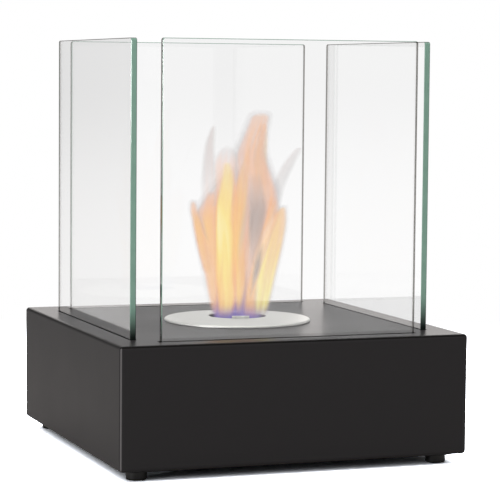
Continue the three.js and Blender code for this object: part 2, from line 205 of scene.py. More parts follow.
# Painted shade: the floor's gain is lower under the box.
gain = add(tree, "ShaderNodeMapRange", {
    "Value": out.outputs[0],
    "From Min": UNDER_FROM,
    "From Max": UNDER_TO,
    "To Min": UNDER_BOX_SHADE_GAIN,
    "To Max": FLOOR_SHOWN,
}, interpolation_type="SMOOTHSTEP")
gain = add(tree, "ShaderNodeVectorMath", {0: FLOOR_SHADE, "Scale": gain.outputs[0]}, operation="SCALE")
shadow = add(tree, "ShaderNodeBsdfDiffuse", {"Color": gain.outputs[0]})
level = nearness(tree, away.outputs["Value"], GLAZED_REACH)
level = add(tree, "ShaderNodeMapRange", {"Value": level, "To Min": GLAZED_FAR, "To Max": 1.0})
level = add(tree, "ShaderNodeMix", {0: glazed, 2: 1.0, 3: level.outputs[0]})
white = add(tree, "ShaderNodeEmission", {"Color": (1, 1, 1, 1), "Strength": level.outputs[0]})
shown = add(tree, "ShaderNodeMixShader", {0: far.outputs[0], 1: shadow.outputs[0], 2: white.outputs[0]})
level = nearness(tree, away.outputs["Value"], MIRRORED_REACH)
level = add(tree, "ShaderNodeMapRange", {"Value": level, "To Min": WALLS, "To Max": MIRRORED_NEAR})
tint = add(tree, "ShaderNodeVectorMath", {0: ROOM_COLOUR[:3], "Scale": level.outputs[0]}, operation="SCALE")
shadow = add(tree, "ShaderNodeBsdfDiffuse", {"Color": tint.outputs[0]})
image = add(tree, "ShaderNodeEmission", {"Color": tint.outputs[0], "Strength": 1.0})
image = add(tree, "ShaderNodeMixShader", {0: far.outputs[0], 1: shadow.outputs[0], 2: image.outputs[0]})
lit = add(tree, "ShaderNodeBsdfDiffuse", {"Color": (FLOOR_ALBEDO, FLOOR_ALBEDO, FLOOR_ALBEDO, 1)})
choice = add(tree, "ShaderNodeMixShader", {0: mirrored, 1: lit.outputs[0], 2: image.outputs[0]})
choice = add(tree, "ShaderNodeMixShader", {0: straight, 1: choice.outputs[0], 2: shown.outputs[0]})
add(tree, "ShaderNodeOutputMaterial", {"Surface": choice.outputs[0]})

floor_mesh = bpy.data.meshes.new("floor")
half = FLOOR_SIZE / 2
floor_corners = [(-half, -half, 0), (half, -half, 0), (half, half, 0), (-half, half, 0)]
floor_mesh.from_pydata(floor_corners, [], [(0, 1, 2, 3)])
floor_mesh.materials.append(paper)
floor = link_object("floor", floor_mesh)


def soft_light(name, place, aim, size, power):
    """A square area light at one point, turned to face another."""
    data = bpy.data.lights.new(name, "AREA")
    data.shape = "SQUARE"
    data.size = size
    data.energy = power
    turn = (Vector(aim) - Vector(place)).to_track_quat("-Z", "Y")
    link_object(name, data).matrix_world = Matrix.Translation(place) @ turn.to_matrix().to_4x4()


soft_light("left_softbox", place=(-1.6, -1.2, 1.7), aim=(0, 0, 0.1), size=1.2, power=10)
soft_light("left_lamp", place=(-2.6, -0.95, 0.35), aim=(0, 0, 0.1), size=0.3, power=12)
soft_light("top_softbox", place=(0, 0, 2.2), aim=(0, 0, 0), size=2.4, power=17)

# --- Base box --------------------------------------------------------------------------------------
# One sheet of 1.5 mm steel, laser cut and folded down on four sides and in again underneath. The
# corners are welded and ground round, and the whole is powder coated matt black.

SHEET = 1.5 * MM
EDGE_RADIUS = 3 * MM
EDGE_STEPS = 8
FLANGE_WIDTH = 34 * MM
FLANGE_CORNER = 8 * MM
OPENING_TOP = 30 * MM
HOLE_RADIUS = 52 * MM
HOLE_STEPS = 160
NUT_HOLE_RADIUS = 3.3 * MM
NUT_HOLE_STEPS = 32
SLOT_CLEARANCE = 0.75 * MM
SLOT_END = 2 * MM
OVERCUT = 1 * MM
SMOOTH_BELOW = math.radians(32)


def linear(code):
    """An sRGB hex colour in linear light, opaque."""
    channels = [int(code[i:i + 2], 16) / 255 for i in (1, 3, 5)]
    return (*[c / 12.92 if c <= 0.04045 else ((c + 0.055) / 1.055) ** 2.4 for c in channels], 1.0)


def block(name, low, high, radius=0.0):
    """A box between two corners, with all its edges rounded."""
    bm = bmesh.new()
    bmesh.ops.create_cube(bm, size=1)
    low, high = Vector(low), Vector(high)
    for vertex in bm.verts:
        vertex.co = [low[i] + (vertex.co[i] + 0.5) * (high[i] - low[i]) for i in range(3)]
    if radius:
        bmesh.ops.bevel(bm, geom=bm.edges[:], offset=radius, segments=EDGE_STEPS, profile=0.5, affect="EDGES")
    mesh = bpy.data.meshes.new(name)
    bm.to_mesh(mesh)
    bm.free()
    return link_object(name, mesh)


def rod(name, x, y, low, high, radius, steps):
    """An upright cylinder."""
    bm = bmesh.new()
    bmesh.ops.create_cone(bm, cap_ends=True, segments=steps, radius1=radius, radius2=radius, depth=high - low)
    bmesh.ops.translate(bm, vec=(x, y, (low + high) / 2), verts=bm.verts)
    mesh = bpy.data.meshes.new(name)
    bm.to_mesh(mesh)
    bm.free()
    return link_object(name, mesh)


def finished(made):
    """Puts an object's modifiers into its mesh, and removes them."""
    result = bpy.data.meshes.new_from_object(made.evaluated_get(bpy.context.evaluated_depsgraph_get()))
    made.modifiers.clear()
    made.data = result
    return made


def carve(body, tools):
    """Cuts the tools out of a body, and removes them."""
    for tool in tools:
        modifier = body.modifiers.new(tool.name, "BOOLEAN")
        modifier.operation = "DIFFERENCE"
        modifier.solver = "EXACT"
        modifier.object = tool
    finished(body)
    for tool in tools:
        bpy.data.objects.remove(tool)
    return body


def even_normals(made):
    """Smooth bends between flat faces that stay flat."""
    made.data.shade_smooth()
    made.data.set_sharp_from_angle(angle=SMOOTH_BELOW)
    modifier = made.modifiers.new("normals", "WEIGHTED_NORMAL")
    modifier.keep_sharp = True
    return finished(made)


box_low, box_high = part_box("base_shell")
pane_low, pane_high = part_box("glass_front")
foot_low, foot_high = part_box("foot_3")
foot_x = (foot_low.x + foot_high.x) / 2
foot_y = (foot_low.y + foot_high.y) / 2

inside = Vector((SHEET, SHEET, SHEET))
shell = block("base_box", box_low, box_high, EDGE_RADIUS)
tools = [block("inside", box_low + inside, box_high - inside, EDGE_RADIUS - SHEET)]
slot_middle = -(pane_low.y + pane_high.y) / 2
slot_half = (pane_high.y - pane_low.y) / 2 + SLOT_CLEARANCE
slot_reach = pane_high.x + SLOT_END
cut_low, cut_high = box_high.z - SHEET - OVERCUT, box_high.z + OVERCUT
for side in (-1, 1):
    near, far = side * slot_middle - slot_half, side * slot_middle + slot_half
    tools.append(block("slot", (-slot_reach, near, cut_low), (slot_reach, far, cut_high)))
    tools.append(block("slot", (near, -slot_reach, cut_low), (far, slot_reach, cut_high)))
tools.append(rod("hole", 0, 0, cut_low, cut_high, HOLE_RADIUS, HOLE_STEPS))
opening = box_high.x - FLANGE_WIDTH
well = block("opening", (-opening, -opening, -EDGE_RADIUS), (opening, opening, OPENING_TOP))
bm = bmesh.new()
bm.from_mesh(well.data)
posts = [edge for edge in bm.edges if abs(edge.verts[0].co.z - edge.verts[1].co.z) > OVERCUT]
bmesh.ops.bevel(bm, geom=posts, offset=FLANGE_CORNER, segments=EDGE_STEPS, profile=0.5, affect="EDGES")
bm.to_mesh(well.data)
bm.free()
tools.append(well)
for x in (-foot_x, foot_x):
    for y in (-foot_y, foot_y):
        tools.append(rod("nut_hole", x, y, 0, box_low.z + SHEET + OVERCUT, NUT_HOLE_RADIUS, NUT_HOLE_STEPS))
carve(shell, tools)
even_normals(shell)

# Polyester powder coat, baked on: matt, with the fine orange peel that the melt leaves. A painted shade
# darkens the folded top edges to a dark line, where they turn away from the light. A painted highlight
# makes the coat a shade paler along the round upright corners.
COAT_COLOUR = "#302f30"
CORNER_HIGHLIGHT_COLOUR = "#6a6869"
FOLD_SHADE_COLOUR = "#0a0a0a"
PEEL_SIZE = 1.9 * MM
PEEL_DEPTH = 0.06 * MM
PATCH_SIZE = 45 * MM
CORNER_HIGHLIGHT_FROM = box_high.x - 0.6 * EDGE_RADIUS
CORNER_HIGHLIGHT_TO = box_high.x - 0.35 * EDGE_RADIUS
FOLD_SHADE_FROM = box_high.z - 2.0 * MM
FOLD_SHADE_TO = box_high.z - 1.2 * MM
OUTSIDE_FROM = box_high.x - 2 * MM
OUTSIDE_TO = box_high.x - 1 * MM

coat, tree = surface("matt_black_powder_coat")
place = add(tree, "ShaderNodeTexCoord").outputs["Object"]
peel = add(tree, "ShaderNodeTexNoise", {
    "Vector": place,
    "Scale": 1 / PEEL_SIZE,
    "Detail": 2.0,
    "Roughness": 0.5,
})
patches = add(tree, "ShaderNodeTexNoise", {"Vector": place, "Scale": 1 / PATCH_SIZE, "Detail": 3.0})
sheen = add(tree, "ShaderNodeMapRange", {"Value": patches.outputs["Fac"], "To Min": 0.30, "To Max": 0.36})
relief = add(tree, "ShaderNodeBump", {
    "Height": peel.outputs["Fac"],
    "Strength": 0.35,
    "Distance": PEEL_DEPTH,
})
spread = add(tree, "ShaderNodeVectorMath", {0: place}, operation="ABSOLUTE")
spread = add(tree, "ShaderNodeSeparateXYZ", {0: spread.outputs[0]})
# Mask of the painted highlight along the round upright corners.
corner_highlight = add(tree, "ShaderNodeMath", {0: spread.outputs["X"], 1: spread.outputs["Y"]}, operation="MINIMUM")
corner_highlight = add(tree, "ShaderNodeMapRange", {
    "Value": corner_highlight.outputs[0],
    "From Min": CORNER_HIGHLIGHT_FROM,
    "From Max": CORNER_HIGHLIGHT_TO,
}, interpolation_type="SMOOTHSTEP")
# Mask of the painted shade on the folded top edges.
fold_shade = add(tree, "ShaderNodeMapRange", {
    "Value": spread.outputs["Z"],
    "From Min": FOLD_SHADE_FROM,
    "From Max": FOLD_SHADE_TO,
}, interpolation_type="SMOOTHSTEP")
outside = add(tree, "ShaderNodeMath", {0: spread.outputs["X"], 1: spread.outputs["Y"]}, operation="MAXIMUM")
outside = add(tree, "ShaderNodeMapRange", {
    "Value": outside.outputs[0],
    "From Min": OUTSIDE_FROM,
    "From Max": OUTSIDE_TO,
}, interpolation_type="SMOOTHSTEP")
fold_shade = add(tree, "ShaderNodeMath", {0: fold_shade.outputs[0], 1: outside.outputs[0]}, operation="MULTIPLY")
tint = add(tree, "ShaderNodeMix", {0: corner_highlight.outputs[0], 6: linear(COAT_COLOUR), 7: linear(CORNER_HIGHLIGHT_COLOUR)},
           data_type="RGBA")
tint = add(tree, "ShaderNodeMix", {0: fold_shade.outputs[0], 6: tint.outputs[2], 7: linear(FOLD_SHADE_COLOUR)},
           data_type="RGBA")
skin = add(tree, "ShaderNodeBsdfPrincipled", {
    "Base Color": tint.outputs[2],
    "Roughness": sheen.outputs[0],
    "IOR": 1.5,
    "Specular IOR Level": 0.04,
    "Specular Tint": (1.0, 0.95, 0.91, 1),
    "Normal": relief.outputs["Normal"],
})
add(tree, "ShaderNodeOutputMaterial", {"Surface": skin.outputs[0]})


def coat_with(made, material):
    """Gives a piece or a node one material all over."""
    made.data.materials.clear()
    made.data.materials.append(material)


coat_with(shell, coat)
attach(shell, "base")
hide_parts("base_shell")

# --- Bottom plate ----------------------------------------------------------------------------------
# A flat plate of the same steel and coat, clamped between the feet and the box's inner flange. It closes
# the box from below and is the CAD piece itself.

coat_with(nodes["bottom_plate"], coat)

# --- Feet and their fasteners ----------------------------------------------------------------------
# Four moulded rubber buttons, each held by a pan-head screw that goes up through the bottom plate
# into a clinch nut pressed into the flange. Screws and nuts are bright zinc-plated steel.

FOOT_EDGE = 1.5 * MM
FOOT_BORE = 2.3 * MM
FOOT_RECESS = 4.3 * MM
FOOT_RECESS_DEPTH = 4 * MM
FOOT_STEPS = 64
ARC_STEPS = 8


def arc(radius, height, size, start, stop):
    """Profile points round a centre, from one angle to the other, in degrees."""
    angles = [math.radians(start + (stop - start) * i / ARC_STEPS) for i in range(ARC_STEPS + 1)]
    return [(radius + size * math.cos(a), height + size * math.sin(a)) for a in angles]


def spun(name, profile, steps):
    """A closed profile of radii and heights turned round the Z axis."""
    count = len(profile)
    points, faces = [], []
    for step in range(steps):
        angle = 2 * math.pi * step / steps
        points += [(r * math.cos(angle), r * math.sin(angle), z) for r, z in profile]
        onward = (step + 1) % steps
        for i in range(count):
            j = (i + 1) % count
            faces.append((step * count + i, onward * count + i, onward * count + j, step * count + j))
    mesh = bpy.data.meshes.new(name)
    mesh.from_pydata(points, [], faces)
    return link_object(name, mesh)


foot_radius = (foot_high.x - foot_low.x) / 2
button = spun("button", [
    (FOOT_RECESS, 0),
    *arc(foot_radius - FOOT_EDGE, FOOT_EDGE, FOOT_EDGE, -90, 0),
    (foot_radius, foot_high.z),
    (FOOT_BORE, foot_high.z),
    (FOOT_BORE, FOOT_RECESS_DEPTH),
    (FOOT_RECESS, FOOT_RECESS_DEPTH),
], FOOT_STEPS)
button.data.shade_smooth()
button.data.set_sharp_from_angle(angle=SMOOTH_BELOW)

# Moulded rubber: black, slightly shiny where the mould was smooth.
RUBBER_GRAIN = 0.8 * MM
RUBBER_DEPTH = 0.04 * MM

rubber, tree = surface("moulded_black_rubber")
place = add(tree, "ShaderNodeTexCoord").outputs["Object"]
mould = add(tree, "ShaderNodeTexNoise", {"Vector": place, "Scale": 1 / RUBBER_GRAIN, "Detail": 3.0})
gloss = add(tree, "ShaderNodeMapRange", {"Value": mould.outputs["Fac"], "To Min": 0.35, "To Max": 0.6})
relief = add(tree, "ShaderNodeBump", {
    "Height": mould.outputs["Fac"],
    "Strength": 0.3,
    "Distance": RUBBER_DEPTH,
})
skin = add(tree, "ShaderNodeBsdfPrincipled", {
    "Base Color": linear("#121213"),
    "Roughness": gloss.outputs[0],
    "IOR": 1.52,
    "Normal": relief.outputs["Normal"],
})
add(tree, "ShaderNodeOutputMaterial", {"Surface": skin.outputs[0]})


def shape_tree(name, inputs):
    """A new geometry tree with named inputs. Returns it with its group input and output nodes."""
    made = bpy.data.node_groups.new(name, "GeometryNodeTree")
    for title, kind in inputs:
        made.interface.new_socket(title, in_out="INPUT", socket_type=kind)
    made.interface.new_socket("Geometry", in_out="OUTPUT", socket_type="NodeSocketGeometry")
    return made, made.nodes.new("NodeGroupInput"), made.nodes.new("NodeGroupOutput")


def grown(name, made, values):
    """A piece made by a geometry tree, with the values of its named inputs."""
    piece = link_object(name, bpy.data.meshes.new(name))
    modifier = piece.modifiers.new(name, "NODES")
    modifier.node_group = made
    for item in made.interface.items_tree:
        if item.in_out == "INPUT" and item.name in values:
            modifier[item.identifier] = values[item.name]
    return finished(piece)


# One foot at each corner of a rectangle.
corners, given, result = shape_tree("four_corners", [
    ("Foot", "NodeSocketObject"),
    ("Spacing X", "NodeSocketFloat"),
    ("Spacing Y", "NodeSocketFloat"),
    ("Material", "NodeSocketMaterial"),
])
square = add(corners, "GeometryNodeMeshGrid", {
    "Size X": given.outputs["Spacing X"],
    "Size Y": given.outputs["Spacing Y"],
    "Vertices X": 2,
    "Vertices Y": 2,
})
one = add(corners, "GeometryNodeObjectInfo", {"Object": given.outputs["Foot"]})
four = add(corners, "GeometryNodeInstanceOnPoints", {
    "Points": square.outputs["Mesh"],
    "Instance": one.outputs["Geometry"],
})
real = add(corners, "GeometryNodeRealizeInstances", {"Geometry": four.outputs[0]})
painted = add(corners, "GeometryNodeSetMaterial", {
    "Geometry": real.outputs[0],
    "Material": given.outputs["Material"],
})
corners.links.new(painted.outputs[0], result.inputs["Geometry"])
feet = grown("rubber_feet", corners, {
    "Foot": button,
    "Spacing X": 2 * foot_x,
    "Spacing Y": 2 * foot_y,
    "Material": rubber,
})
bpy.data.objects.remove(button)
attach(feet, "base")
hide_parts("foot_1", "foot_2", "foot_3", "foot_4")

# Bright zinc plating: a smooth bluish silver with faint cloudy patches.
ZINC_CLOUD = 6 * MM

zinc, tree = surface("bright_zinc_plating")
place = add(tree, "ShaderNodeTexCoord").outputs["Object"]
cloud = add(tree, "ShaderNodeTexNoise", {"Vector": place, "Scale": 1 / ZINC_CLOUD, "Detail": 3.0})
gloss = add(tree, "ShaderNodeMapRange", {"Value": cloud.outputs["Fac"], "To Min": 0.24, "To Max": 0.42})
skin = add(tree, "ShaderNodeBsdfPrincipled", {
    "Base Color": linear("#b9bcc0"),
    "Metallic": 1.0,
    "Roughness": gloss.outputs[0],
})
add(tree, "ShaderNodeOutputMaterial", {"Surface": skin.outputs[0]})
for number in range(1, 5):
    coat_with(nodes[f"foot_screw_{number}"], zinc)
    coat_with(nodes[f"clinch_nut_{number}"], zinc)

# --- Channels and seats ----------------------------------------------------------------------------
# Under each slot a folded hat channel of plated sheet is spot-welded to the top, and a moulded
# silicone strip lies in it, so that the pane stands upright on something soft.

# Moulded silicone: dull dark grey.
SILICONE_GRAIN = 1.2 * MM

silicone, tree = surface("moulded_silicone")
place = add(tree, "ShaderNodeTexCoord").outputs["Object"]
mould = add(tree, "ShaderNodeTexNoise", {"Vector": place, "Scale": 1 / SILICONE_GRAIN, "Detail": 2.0})
gloss = add(tree, "ShaderNodeMapRange", {"Value": mould.outputs["Fac"], "To Min": 0.6, "To Max": 0.75})
skin = add(tree, "ShaderNodeBsdfPrincipled", {
    "Base Color": linear("#2a2a2a"),
    "Roughness": gloss.outputs[0],
    "IOR": 1.41,
})
add(tree, "ShaderNodeOutputMaterial", {"Surface": skin.outputs[0]})

SIDES = ["front", "right", "back", "left"]
for side in SIDES:
    coat_with(nodes[f"glass_channel_{side}"], zinc)
    coat_with(nodes[f"glass_seat_{side}"], silicone)

# --- Glass panes -----------------------------------------------------------------------------------
# Four panes of clear 5 mm float glass, cut with round corners. Their edges are ground with a small
# arris and polished. Each stands loose in its slot.

PANE_CORNER = 2 * MM
PANE_ARRIS = 0.5 * MM
CORNER_STEPS = 6
EDGE_STREAK = 14 * MM
EDGE_SHADED = 30 * MM
SLANT_FROM = 0.2
SLANT_TO = 0.6

# Float glass seen through its faces: almost without colour. Light on other things goes through it.
clear, tree = surface("clear_float_glass")
path = add(tree, "ShaderNodeLightPath")
lighting = add(tree, "ShaderNodeMath", {0: path.outputs["Is Shadow Ray"], 1: path.outputs["Is Diffuse Ray"]},
               operation="MAXIMUM")
skin = add(tree, "ShaderNodeBsdfPrincipled", {
    "Base Color": (1, 1, 1, 1),
    "Roughness": 0.0,
    "IOR": 1.52,
    "Transmission Weight": 1.0,
})
through = add(tree, "ShaderNodeBsdfTransparent", {"Color": (0.96, 0.96, 0.96, 1)})
body = add(tree, "ShaderNodeMixShader", {0: lighting.outputs[0], 1: skin.outputs[0], 2: through.outputs[0]})
add(tree, "ShaderNodeOutputMaterial", {"Surface": body.outputs[0]})

# The same glass seen into its polished edge. The iron in it gathers to green over the pane's width.
# Just over the box a painted shade darkens the edge, where the slot lets no light in. At a slant, or
# from inside the pane, the edge is a thin grey line that lets the background through.
edge_glass, tree = surface("polished_float_glass_edge")
place = add(tree, "ShaderNodeTexCoord").outputs["Object"]
height = add(tree, "ShaderNodeSeparateXYZ", {0: place})
above_box = add(tree, "ShaderNodeMapRange", {
    "Value": height.outputs["Z"],
    "From Min": box_high.z,
    "From Max": box_high.z + EDGE_SHADED,
}, interpolation_type="SMOOTHSTEP")
streak = add(tree, "ShaderNodeTexNoise", {"Vector": place, "Scale": 1 / EDGE_STREAK, "Detail": 2.0})
tint = add(tree, "ShaderNodeMix", {0: streak.outputs["Fac"], 6: linear("#7fa595"), 7: linear("#93b8a8")},
           data_type="RGBA")
# Painted shade: the edge goes near black just above the box.
slot_shaded_edge = add(tree, "ShaderNodeMix", {0: above_box.outputs[0], 6: linear("#141c19"), 7: tint.outputs[2]},
           data_type="RGBA")
skin = add(tree, "ShaderNodeBsdfPrincipled", {
    "Base Color": slot_shaded_edge.outputs[2],
    "Roughness": 0.12,
    "IOR": 1.52,
    "Specular IOR Level": 0.25,
})
slant = add(tree, "ShaderNodeLayerWeight", {"Blend": 0.5})
slanted = add(tree, "ShaderNodeMapRange", {
    "Value": slant.outputs["Facing"],
    "From Min": SLANT_FROM,
    "From Max": SLANT_TO,
}, interpolation_type="SMOOTHSTEP")
from_inside = add(tree, "ShaderNodeNewGeometry").outputs["Backfacing"]
thinned = add(tree, "ShaderNodeMath", {0: slanted.outputs[0], 1: from_inside}, operation="MAXIMUM")
thin = add(tree, "ShaderNodeBsdfTransparent", {"Color": linear("#908e8b")})
body = add(tree, "ShaderNodeMixShader", {0: thinned.outputs[0], 1: skin.outputs[0], 2: thin.outputs[0]})
add(tree, "ShaderNodeOutputMaterial", {"Surface": body.outputs[0]})


def rounded_outline(width, height, radius, inset):
    """Points round a rectangle with round corners, from its lower right corner, drawn in by an inset."""
    reach = radius - inset
    points = []
    for quarter, (sx, sz) in enumerate([(1, -1), (1, 1), (-1, 1), (-1, -1)]):
        for step in range(CORNER_STEPS + 1):
            angle = math.pi / 2 * (quarter - 1 + step / CORNER_STEPS)
            points.append((
                sx * (width / 2 - radius) + reach * math.cos(angle),
                sz * (height / 2 - radius) + reach * math.sin(angle),
            ))
    return points


def pane(name, low, high):
    """A pane along X between two corners: clear faces, with the ground edge and its arrises green."""
    width, thick, tall = high - low
    middle = (low + high) / 2
    face, arris = thick / 2, thick / 2 - PANE_ARRIS
    rings = [(-face, PANE_ARRIS), (-arris, 0), (arris, 0), (face, PANE_ARRIS)]
    points, faces = [], []
    for depth, inset in rings:
        outline = rounded_outline(width, tall, PANE_CORNER, inset)
        points += [(middle.x + x, middle.y + depth, middle.z + z) for x, z in outline]
    count = len(points) // len(rings)
    for ring in range(len(rings) - 1):
        for i in range(count):
            j = (i + 1) % count
            a, b = ring * count, (ring + 1) * count
            faces.append((a + i, b + i, b + j, a + j))
    faces.append(tuple(range(count)))
    faces.append(tuple(range(len(points) - 1, len(points) - count - 1, -1)))
    mesh = bpy.data.meshes.new(name)
    mesh.from_pydata(points, [], faces)
    mesh.materials.append(clear)
    mesh.materials.append(edge_glass)
    for face in mesh.polygons[:-2]:
        face.material_index = 1
    bm = bmesh.new()
    bm.from_mesh(mesh)
    bmesh.ops.recalc_face_normals(bm, faces=bm.faces[:])
    bm.to_mesh(mesh)
    bm.free()
    return mesh


for quarter, side in enumerate(SIDES):
    mesh = pane(f"pane_{side}", pane_low, pane_high)
    mesh.transform(Matrix.Rotation(quarter * math.pi / 2, 4, "Z"))
    glass = link_object(f"pane_{side}", mesh)
    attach(glass, f"{side}_pane")
    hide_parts(f"glass_{side}")

# --- Burner ----------------------------------------------------------------------------------------
# A deep-drawn stainless cup hangs in the hole by its rim. A spun ring with a rolled lip covers the
# rim and narrows the mouth. Fibre soaks up the fuel under a perforated disc, and a bent tab lifts it out.

RING_SHEET = 1.2 * MM
RING_EDGE = 2.4 * MM
RING_BEND = 1.6 * MM
RING_GAP = 0.35 * MM
MOUTH_RADIUS = 24.9 * MM
RING_STEPS = 192

# Satin stainless: pale warm silver, brushed in rings as the sheet turned on the lathe. The real marks
# are about 0.1 mm apart and are drawn coarser, so that they show.
GROOVE_SIZE = 0.6 * MM
GROOVE_DEPTH = 0.02 * MM

satin, tree = surface("satin_turned_stainless")
place = add(tree, "ShaderNodeTexCoord").outputs["Object"]
flat = add(tree, "ShaderNodeVectorMath", {0: place, 1: (1, 1, 0)}, operation="MULTIPLY")
radius = add(tree, "ShaderNodeVectorMath", {0: flat.outputs[0]}, operation="LENGTH")
grooves = add(tree, "ShaderNodeTexNoise", {
    "W": radius.outputs["Value"],
    "Scale": 1 / GROOVE_SIZE,
    "Detail": 4.0,
}, noise_dimensions="1D")
gloss = add(tree, "ShaderNodeMapRange", {"Value": grooves.outputs["Fac"], "To Min": 0.38, "To Max": 0.5})
relief = add(tree, "ShaderNodeBump", {
    "Height": grooves.outputs["Fac"],
    "Strength": 0.25,
    "Distance": GROOVE_DEPTH,
})
steel = add(tree, "ShaderNodeMix", {0: grooves.outputs["Fac"], 6: linear("#aeaeab"), 7: linear("#dadad6")},
            data_type="RGBA")
skin = add(tree, "ShaderNodeBsdfPrincipled", {
    "Base Color": steel.outputs[2],
    "Metallic": 1.0,
    "Roughness": gloss.outputs[0],
    "Normal": relief.outputs["Normal"],
})
add(tree, "ShaderNodeOutputMaterial", {"Surface": skin.outputs[0]})

ring_low, ring_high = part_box("burner_ring")
top = ring_low.z
outer = ring_high.x
bend = top + RING_EDGE - RING_BEND
lip = RING_SHEET / 2
ring = spun("spun_ring", [
    (outer, top + RING_GAP),
    *arc(outer - RING_BEND, bend, RING_BEND, 0, 90),
    *arc(MOUTH_RADIUS + lip, ring_high.z - lip, lip, 90, 270),
    *arc(outer - RING_BEND, bend, RING_BEND - RING_SHEET, 90, 0),
    (outer - RING_SHEET, top + RING_GAP),
], RING_STEPS)
even_normals(ring)
coat_with(ring, satin)
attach(ring, "burner")
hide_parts("burner_ring")
coat_with(nodes["lift_tab"], satin)

# The cup's inside is the same steel, tarnished straw and blue by the heat near its mouth.
TARNISH_HEIGHT = 20 * MM

tarnished, tree = surface("heat_tinted_stainless")
place = add(tree, "ShaderNodeTexCoord").outputs["Object"]
height = add(tree, "ShaderNodeSeparateXYZ", {0: place})
warmth = add(tree, "ShaderNodeMapRange", {
    "Value": height.outputs["Z"],
    "From Min": top - TARNISH_HEIGHT,
    "From Max": top,
})
tint = add(tree, "ShaderNodeMix", {0: warmth.outputs[0], 6: linear("#a8a49a"), 7: linear("#6c6a86")},
           data_type="RGBA")
skin = add(tree, "ShaderNodeBsdfPrincipled", {
    "Base Color": tint.outputs[2],
    "Metallic": 1.0,
    "Roughness": 0.38,
})
add(tree, "ShaderNodeOutputMaterial", {"Surface": skin.outputs[0]})
coat_with(nodes["burner_cup"], tarnished)

# Ceramic fibre felt: white, tangled and dull.
FIBRE_SIZE = 1.5 * MM
FIBRE_DEPTH = 0.4 * MM

felt, tree = surface("ceramic_fibre_felt")
place = add(tree, "ShaderNodeTexCoord").outputs["Object"]
fibres = add(tree, "ShaderNodeTexNoise", {
    "Vector": place,
    "Scale": 1 / FIBRE_SIZE,
    "Detail": 6.0,
    "Distortion": 2.0,
})
shade = add(tree, "ShaderNodeMix", {0: fibres.outputs["Fac"], 6: linear("#d9d4c8"), 7: linear("#f3f1ea")},
            data_type="RGBA")
relief = add(tree, "ShaderNodeBump", {
    "Height": fibres.outputs["Fac"],
    "Strength": 0.8,
    "Distance": FIBRE_DEPTH,
})
skin = add(tree, "ShaderNodeBsdfPrincipled", {
    "Base Color": shade.outputs[2],
    "Roughness": 0.95,
    "Normal": relief.outputs["Normal"],
})
add(tree, "ShaderNodeOutputMaterial", {"Surface": skin.outputs[0]})
coat_with(nodes["burner_wool"], felt)

# Perforated disc: round holes in staggered rows inside a plain rim. A square grid of points is moved to
# the holes' places, the points in the rim are dropped, and a punch on each of the rest cuts its hole.
SCREEN_PITCH = 5 * MM
SCREEN_HOLE = 1.5 * MM
SCREEN_RIM = 3 * MM
SCREEN_ROWS = 21
SCREEN_STEPS = 128
PUNCH_STEPS = 12
PUNCH_DEPTHS = 3.0
ROW_SPACING = math.sin(math.pi / 3)

punched, given, result = shape_tree("punched_disc", [
    ("Radius", "NodeSocketFloat"),
    ("Thickness", "NodeSocketFloat"),
    ("Height", "NodeSocketFloat"),
    ("Pitch", "NodeSocketFloat"),
    ("Hole Radius", "NodeSocketFloat"),
    ("Rim", "NodeSocketFloat"),
    ("Material", "NodeSocketMaterial"),
])
pitch, thickness, centre = (given.outputs[title] for title in ("Pitch", "Thickness", "Height"))
rows = add(punched, "GeometryNodeMeshGrid", {"Vertices X": SCREEN_ROWS, "Vertices Y": SCREEN_ROWS})
spot = add(punched, "GeometryNodeInputIndex")
column = add(punched, "ShaderNodeMath", {0: spot.outputs[0], 1: SCREEN_ROWS}, operation="DIVIDE")
column = add(punched, "ShaderNodeMath", {0: column.outputs[0]}, operation="FLOOR")
line = add(punched, "ShaderNodeMath", {0: spot.outputs[0], 1: SCREEN_ROWS}, operation="MODULO")
odd = add(punched, "ShaderNodeMath", {0: line.outputs[0], 1: 2.0}, operation="MODULO")
stagger = add(punched, "ShaderNodeMath", {0: odd.outputs[0], 1: 0.5, 2: column.outputs[0]},
              operation="MULTIPLY_ADD")
across = add(punched, "ShaderNodeMath", {0: stagger.outputs[0], 1: SCREEN_ROWS // 2}, operation="SUBTRACT")
across = add(punched, "ShaderNodeMath", {0: across.outputs[0], 1: pitch}, operation="MULTIPLY")
along = add(punched, "ShaderNodeMath", {0: line.outputs[0], 1: SCREEN_ROWS // 2}, operation="SUBTRACT")
along = add(punched, "ShaderNodeMath", {0: along.outputs[0], 1: ROW_SPACING}, operation="MULTIPLY")
along = add(punched, "ShaderNodeMath", {0: along.outputs[0], 1: pitch}, operation="MULTIPLY")
spots = add(punched, "ShaderNodeCombineXYZ", {0: across.outputs[0], 1: along.outputs[0], 2: centre})
rows = add(punched, "GeometryNodeSetPosition", {
    "Geometry": rows.outputs["Mesh"],
    "Position": spots.outputs[0],
})
here = add(punched, "GeometryNodeInputPosition").outputs[0]
out = add(punched, "ShaderNodeVectorMath", {0: here, 1: (1, 1, 0)}, operation="MULTIPLY")
out = add(punched, "ShaderNodeVectorMath", {0: out.outputs[0]}, operation="LENGTH")
room = add(punched, "ShaderNodeMath", {0: given.outputs["Radius"], 1: given.outputs["Rim"]},
           operation="SUBTRACT")
beyond = add(punched, "FunctionNodeCompare", {0: out.outputs["Value"], 1: room.outputs[0]},
             operation="GREATER_THAN")
rows = add(punched, "GeometryNodeDeleteGeometry", {
    "Geometry": rows.outputs[0],
    "Selection": beyond.outputs[0],
})
deep = add(punched, "ShaderNodeMath", {0: thickness, 1: PUNCH_DEPTHS}, operation="MULTIPLY")
punch = add(punched, "GeometryNodeMeshCylinder", {
    "Vertices": PUNCH_STEPS,
    "Radius": given.outputs["Hole Radius"],
    "Depth": deep.outputs[0],
})
holes = add(punched, "GeometryNodeInstanceOnPoints", {
    "Points": rows.outputs[0],
    "Instance": punch.outputs["Mesh"],
})
